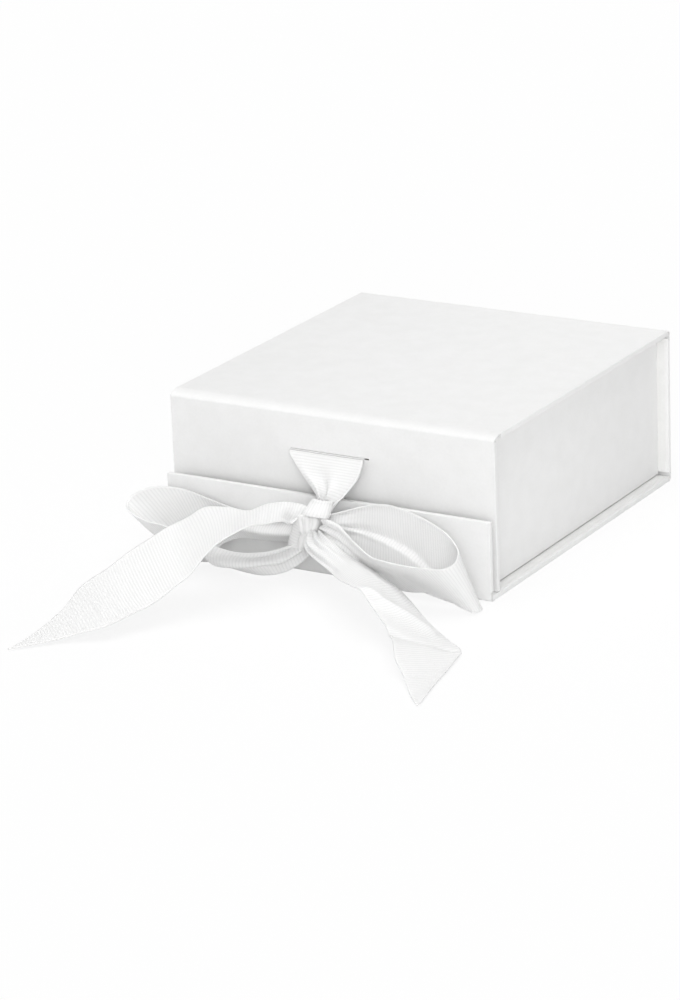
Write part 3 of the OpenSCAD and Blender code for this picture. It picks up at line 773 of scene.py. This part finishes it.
# Geometry Nodes: gives a ribbon's middle surface its thickness, cross ribs and selvedges
def weaveTree():
    tree = bpy.data.node_groups.new("grosgrainWeave", "GeometryNodeTree")
    face = tree.interface
    face.new_socket(name="Ribbon", in_out="INPUT", socket_type="NodeSocketGeometry")
    for label in ("Thickness", "Rib pitch", "Rib height", "Selvedge width", "Selvedge bead"):
        face.new_socket(name=label, in_out="INPUT", socket_type="NodeSocketFloat")
    face.new_socket(name="Cloth", in_out="INPUT", socket_type="NodeSocketMaterial")
    face.new_socket(name="Woven", in_out="OUTPUT", socket_type="NodeSocketGeometry")
    given = node(tree, "NodeGroupInput").outputs

    def named(label, kind="FLOAT"):
        made = node(tree, "GeometryNodeInputNamedAttribute", {"data_type": kind}, Name=label)
        return made.outputs["Attribute"]

    def times(a, b):
        return mathNode(tree, "MULTIPLY", a, b)

    turns = mathNode(tree, "DIVIDE", times(named("alongRibbon"), 2 * math.pi), given["Rib pitch"])
    inner = node(
        tree, "ShaderNodeMapRange", {"interpolation_type": "SMOOTHSTEP"}, i0=named("fromEdge"),
        i1=times(given["Selvedge width"], ribbonCut["beadFrom"]),
        i2=times(given["Selvedge width"], ribbonCut["beadTo"]),
    ).outputs[0]
    rib = times(times(mathNode(tree, "COSINE", turns), given["Rib height"]), inner)
    bead = times(mathNode(tree, "SUBTRACT", 1.0, inner), given["Selvedge bead"])
    half = mathNode(tree, "ADD", times(given["Thickness"], 0.5), mathNode(tree, "ADD", rib, bead))
    kept = node(
        tree, "GeometryNodeStoreNamedAttribute", {"data_type": "FLOAT_VECTOR", "domain": "POINT"},
        Geometry=given["Ribbon"], Name="clothNormal", Value=node(tree, "GeometryNodeInputNormal").outputs[0],
    )

    def moved(mesh, amount, **chosen):
        normal = named("clothNormal", "FLOAT_VECTOR")
        shift = node(tree, "ShaderNodeVectorMath", {"operation": "SCALE"}, i0=normal, Scale=amount).outputs[0]
        return node(tree, "GeometryNodeSetPosition", Geometry=mesh, Offset=shift, **chosen).outputs[0]

    lower = moved(kept.outputs[0], times(half, -1.0))
    under = node(tree, "GeometryNodeFlipFaces", Mesh=lower).outputs[0]
    raised = node(
        tree, "GeometryNodeExtrudeMesh", {"mode": "FACES"}, Mesh=lower, Offset_Scale=0.0, Individual=False,
    ).outputs
    upper = moved(raised["Mesh"], times(half, 2.0), Selection=raised["Top"])
    both = node(tree, "GeometryNodeJoinGeometry")
    tree.links.new(upper, both.inputs[0])
    tree.links.new(under, both.inputs[0])
    closed = node(tree, "GeometryNodeMergeByDistance", Geometry=both.outputs[0])
    closed.inputs["Distance"].default_value = ribbonCut["weld"]
    real = node(tree, "GeometryNodeRealizeInstances", Geometry=closed.outputs[0]).outputs[0]
    painted = node(tree, "GeometryNodeSetMaterial", Geometry=real, Material=given["Cloth"]).outputs[0]
    tree.links.new(painted, node(tree, "NodeGroupOutput").inputs[0])
    return tree


grosgrainWeave = weaveTree()


def woven(obj):
    step = obj.modifiers.new("weave", "NODES")
    step.node_group = grosgrainWeave
    values = {
        "Thickness": ribbonCut["thickness"],
        "Rib pitch": ribbonCut["ribPitch"],
        "Rib height": ribbonCut["ribHeight"],
        "Selvedge width": ribbonCut["selvedge"],
        "Selvedge bead": ribbonCut["selvedgeBead"],
        "Cloth": finishes["ribbon"],
    }
    for item in grosgrainWeave.interface.items_tree:
        if item.name in values:
            step[item.identifier] = values[item.name]
    settled(obj)
    for face in obj.data.polygons:
        face.use_smooth = True
    return obj


# One entry for each stretch: flat is its length before folding, and cutOff the area that
# its slanting end takes off.
ribbonPieces = {
    "ribbonNeck": {
        "node": "ribbon_neck", "rows": neckRows, "face": wallFace, "flat": 0.0225,
        "gathers": [{"end": "end", "folds": 2, "reach": 0.027, "strength": 0.50, "phase": -0.05}],
        "held": "gathered", "on": ["knotUpper"],
    },
    "ribbonLeftTail": {
        "node": "ribbon_left_tail", "rows": leftTailRows, "face": flapFace,
        "flat": 0.152, "cutOff": 0.00070,
        "gathers": [{"end": "start", "folds": 1, "reach": 0.030, "strength": 0.12, "phase": 0.0}],
        "cutRow": 12, "held": "draped", "on": ["knotUpper", "ribbonLeftLoop"],
    },
    "ribbonLeftLoop": {
        "node": "ribbon_left_loop", "rows": leftLoopRows, "face": flapFace, "flat": 0.152,
        "gathers": [
            {"end": "start", "folds": 1, "reach": 0.075, "strength": 0.50, "phase": 0.55},
            {"end": "end", "folds": 2, "reach": 0.045, "strength": 0.45, "phase": 0.0},
        ],
        "creases": [
            {
                "rows": (12.2, 13.3, 14.4, 15.4, 16.2, 16.8), "across": (0.50, 0.55, 0.50, 0.45, 0.50, 0.50),
                "fade": 0.9, "softOver": 0.005, "softUnder": 0.003, "height": -0.0015,
            },
        ],
        "held": "gathered", "on": ["knotLower"],
    },
    "ribbonRightLoop": {
        "node": "ribbon_right_loop", "rows": rightLoopRows, "face": flapFace, "flat": 0.145,
        "gathers": [
            {"end": "start", "folds": 2, "reach": 0.050, "strength": 0.40, "phase": 0.05},
            {"end": "end", "folds": 3, "reach": 0.040, "strength": 0.30, "phase": 0.0},
        ],
        "creases": [
            {
                "rows": (0.2, 1.2, 2.1, 3.0, 3.8, 4.5, 5.3),
                "across": (0.35, 0.48, 0.50, 0.50, 0.55, 0.62, 0.72),
                "fade": 1.2, "softOver": 0.006, "softUnder": 0.008, "step": 0.0008, "height": -0.0024,
            },
        ],
        "held": "gathered", "on": ["knotLower"],
    },
    "ribbonRightTail": {
        "node": "ribbon_right_tail", "rows": rightTailRows, "face": flapFace,
        "flat": 0.155, "cutOff": 0.00070,
        "gathers": [{"end": "start", "folds": 3, "reach": 0.045, "strength": 0.34, "phase": 0.5}],
        "creases": [
            {
                "rows": (4.0, 5.8, 6.9, 7.9, 9.2), "across": (1.0, 0.80, 0.45, 0.25, 0.05),
                "fade": 1.6, "softOver": 0.010, "softUnder": 0.005, "height": -0.0034,
            },
            {
                "rows": (7.6, 8.1, 10.2, 10.6), "across": (1.05, 1.0, 0.0, -0.05),
                "fade": 0.5, "softOver": 0.006, "softUnder": 0.006, "height": 0.0018,
            },
        ],
        "cutRow": 10, "held": "draped", "on": ["knotLower"],
    },
}


def finishRibbon(obj, replaced=None):
    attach(obj, "bow")
    if replaced:
        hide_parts(replaced)
    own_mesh(obj)
    return obj


# A turn of ribbon wound tight round the knot: low and high are the middles of its ends,
# and radii holds its reach to the front and to the side at each end. A turn is closed at
# both ends, or narrows to the share tuckIn. Its ribs run from end to end, or across.
knotWraps = {
    "knotUpper": {
        "low": (0.0020, -0.0918, 0.0288), "high": (0.0035, -0.0884, 0.0346),
        "front": (0, -0.95, 0.31), "side": (1, 0, 0),
        "radii": ((0.0043, 0.0057), (0.0035, 0.0044)), "square": 12.0, "tuckIn": 0.6,
    },
    "knotLower": {
        "low": (-0.0020, -0.0912, 0.0204), "high": (-0.0017, -0.0910, 0.0294),
        "radii": ((0.0029, 0.0031), (0.0042, 0.0054)), "square": 6.0,
        "pleats": 7, "pleatHeight": 0.13, "lean": 0.9,
    },
    "knotTuck": {
        "low": (-0.0047, -0.0938, 0.0145), "high": (-0.0019, -0.0932, 0.0226),
        "radii": ((0.0009, 0.0015), (0.0009, 0.0014)), "square": 3.0,
    },
    "knotRoot": {
        "low": (-0.0091, -0.0920, 0.0124), "high": (-0.0050, -0.0915, 0.0276),
        "radii": ((0.0012, 0.0029), (0.0015, 0.0025)), "square": 8.0, "ribsAcross": True,
    },
}
wrapEnds = {"fullTurn": 0.9995, "closing": 0.9, "closingPower": 40, "least": 1e-4}


# Outline of a turn from end to end, as places from -1 to 1 and the share of its reach at each
def wrapOutline(v, length):
    power = v["square"]
    if "ribsAcross" in v:
        count = round(length / ribbonCut["ribPitch"] * ribbonCut["stepsPerRib"]) + 1
        place = np.linspace(-1, 1, count)[None, :]
        return place, place, np.maximum(1 - np.abs(place) ** power, wrapEnds["least"]) ** (1 / power)
    u = np.linspace(-1, 1, ribbonCut["columns"] + 1)[None, :]
    turn = u * math.pi / 2 * wrapEnds["fullTurn"]
    place = np.sign(turn) * np.abs(np.sin(turn)) ** (2 / power)
    closing = 1 - wrapEnds["closing"] * np.abs(u) ** wrapEnds["closingPower"]
    reach = np.cos(turn) ** (2 / power) * closing
    kept = v.get("tuckIn", 0)
    return u, place, kept + (1 - kept) * reach


def wrapSurface(v):
    pitch, w = ribbonCut["ribPitch"], ribbonCut["width"]
    low, high = np.array(v["low"]), np.array(v["high"])
    axis = Vector(high - low)
    length = axis.length
    axis.normalize()
    front = Vector(v.get("front", Vector((0, -1, 0)) + axis * axis.y)).normalized()
    side = Vector(v.get("side", axis.cross(front)))
    (lowFront, lowSide), (highFront, highSide) = v["radii"]
    turns = round(math.pi * (lowFront + lowSide + highFront + highSide) / 2 / pitch)
    n = turns * ribbonCut["stepsPerRib"]
    t = np.arange(n) / n
    a = (2 * math.pi * t)[:, None]
    u, place, reach = wrapOutline(v, length)
    share = (place + 1) / 2
    fold = np.abs(np.sin(v.get("pleats", 0) * a / 2 + v.get("lean", 0) * share))
    reach = reach * (1 + v.get("pleatHeight", 0) * (2 * fold - 1))
    toFront = np.cos(a) * (lowFront * (1 - share) + highFront * share) * reach
    toSide = np.sin(a) * (lowSide * (1 - share) + highSide * share) * reach
    toEnd = place * length / 2 + 0 * a
    points = (low + high) / 2
    for amount, way in ((toFront, front), (toSide, side), (toEnd, axis)):
        points = points + amount[..., None] * np.array(way)
    over = np.repeat((u + 1) / 2 * w, n, 0)
    if "ribsAcross" in v:
        return points, toEnd, over, np.full(over.shape, w / 2)
    along = np.repeat((t * turns * pitch)[:, None], u.shape[1], 1)
    return points, along, over, np.minimum(over, w - over)


for name, v in knotWraps.items():
    wrap = surfaceObject(name, *wrapSurface(v), closed=True)
    woven(wrap)
    finishRibbon(wrap, "ribbon_knot" if name == "knotUpper" else None)

for name, v in ribbonPieces.items():
    strip = woven(surfaceObject(name, *ribbonSurface(v)))
    finishRibbon(strip, v["node"])
    print(name, "woven,", len(strip.data.polygons), "faces")

# Inner end of the ribbon: through the slot and down behind the wall, under its patch
innerEnd = {
    "middle": -0.0010,
    "bend": 0.0008,
    "bendFrom": 0.2,  # in radians, up to a quarter turn
    "bendSteps": 8,
    "footGap": 0.0001,
    "columns": 12,
}


def innerEndSurface(v):
    low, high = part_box("ribbon_inner_end")
    w, t, bend = ribbonCut["width"], ribbonCut["thickness"], v["bend"]
    zTop, yWall = high.z - t / 2, high.y - t / 2
    path = [(low.y, zTop), (yWall - bend, zTop)]
    for a in np.linspace(v["bendFrom"], math.pi / 2, v["bendSteps"]):
        path.append((yWall - bend * (1 - math.sin(a)), zTop - bend * (1 - math.cos(a))))
    path.append((yWall, low.z + v["footGap"]))
    path = np.array(path)
    length = np.concatenate([[0], np.cumsum(np.linalg.norm(np.diff(path, axis=0), axis=1))])
    even = np.arange(0, length[-1], ribbonCut["ribPitch"] / ribbonCut["stepsPerRib"])[:, None]
    over = np.linspace(0, 1, v["columns"] + 1)[None, :] * w
    x = v["middle"] + over - w / 2 + 0 * even
    y, z = (np.interp(even, length, path[:, i]) + 0 * over for i in range(2))
    over = over + 0 * even
    return np.stack([x, y, z], -1), even + 0 * over, over, np.minimum(over, w - over), length[-1]


*surface, innerLength = innerEndSurface(innerEnd)
innerStrip = woven(surfaceObject("ribbonInnerEnd", *surface))
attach(innerStrip, "tray")
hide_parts("ribbon_inner_end")
print("ribbon ready")
